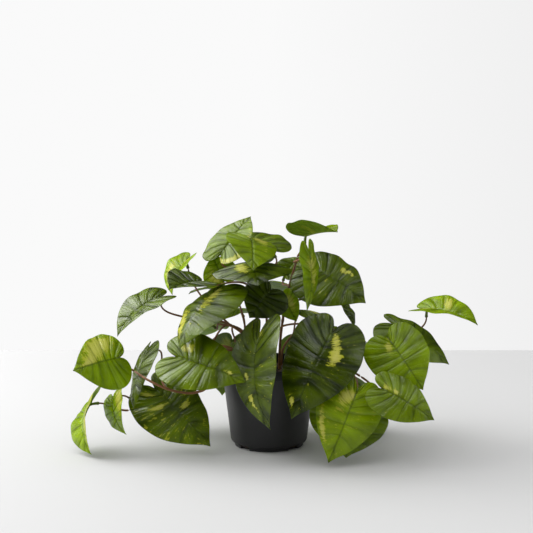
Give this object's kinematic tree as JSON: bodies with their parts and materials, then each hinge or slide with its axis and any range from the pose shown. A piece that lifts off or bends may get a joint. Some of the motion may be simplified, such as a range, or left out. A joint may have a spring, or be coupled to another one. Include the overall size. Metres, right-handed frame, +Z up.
{
  "type": "potted pothos plant",
  "caption": "Trailing pothos with glossy variegated heart-shaped leaves on wiry brown stems in a black tapered nursery pot",
  "frame": {"origin": "centre of the underside of the pot, on the surface it stands on", "axes": "+Z up, -Y towards the front that the picture shows, +X to the right along the plant's width"},
  "size_m": [0.4855, 0.2472, 0.273],
  "materials": {
    "leaf_green": "glossy leaf, mid to dark green with yellow streaks between the veins and a paler underside",
    "stem_brown": "dull reddish brown stem and stalk",
    "pot_black": "satin black moulded plastic",
    "potting_mix": "dark crumbly potting mix"
  },
  "bodies": {
    "root": {"pot": "pot_black", "potting_mix": "potting_mix", "vine_left_high": "stem_brown", "leaf_left_high_1": "leaf_green", "leaf_left_high_2": "leaf_green", "leaf_left_high_3": "leaf_green", "vine_left_front": "stem_brown", "leaf_left_front_1": "leaf_green", "leaf_left_front_2": "leaf_green", "leaf_left_front_3": "leaf_green", "vine_left_low": "stem_brown", "leaf_left_low_1": "leaf_green", "leaf_left_low_2": "leaf_green", "leaf_left_low_3": "leaf_green", "vine_crown_left": "stem_brown", "leaf_crown_left_1": "leaf_green", "leaf_crown_left_2": "leaf_green", "leaf_crown_left_3": "leaf_green", "leaf_crown_left_4": "leaf_green", "vine_crown_mid": "stem_brown", "leaf_crown_mid_1": "leaf_green", "leaf_crown_mid_2": "leaf_green", "leaf_crown_mid_3": "leaf_green", "leaf_crown_mid_4": "leaf_green", "leaf_crown_mid_5": "leaf_green", "vine_crown_right": "stem_brown", "leaf_crown_right_1": "leaf_green", "leaf_crown_right_2": "leaf_green", "leaf_crown_right_3": "leaf_green", "leaf_crown_right_4": "leaf_green", "leaf_crown_right_5": "leaf_green", "leaf_crown_right_6": "leaf_green", "vine_front": "stem_brown", "leaf_front_1": "leaf_green", "leaf_front_2": "leaf_green", "vine_right_high": "stem_brown", "leaf_right_high_1": "leaf_green", "leaf_right_high_2": "leaf_green", "leaf_right_high_3": "leaf_green", "vine_right_low": "stem_brown", "leaf_right_low_1": "leaf_green", "leaf_right_low_2": "leaf_green", "leaf_right_low_3": "leaf_green", "vine_back_left": "stem_brown", "leaf_back_left_1": "leaf_green", "leaf_back_left_2": "leaf_green", "leaf_back_left_3": "leaf_green", "leaf_back_left_4": "leaf_green", "vine_back_right": "stem_brown", "leaf_back_right_1": "leaf_green", "leaf_back_right_2": "leaf_green", "leaf_back_right_3": "leaf_green", "leaf_back_right_4": "leaf_green"}
  },
  "joints": []
}
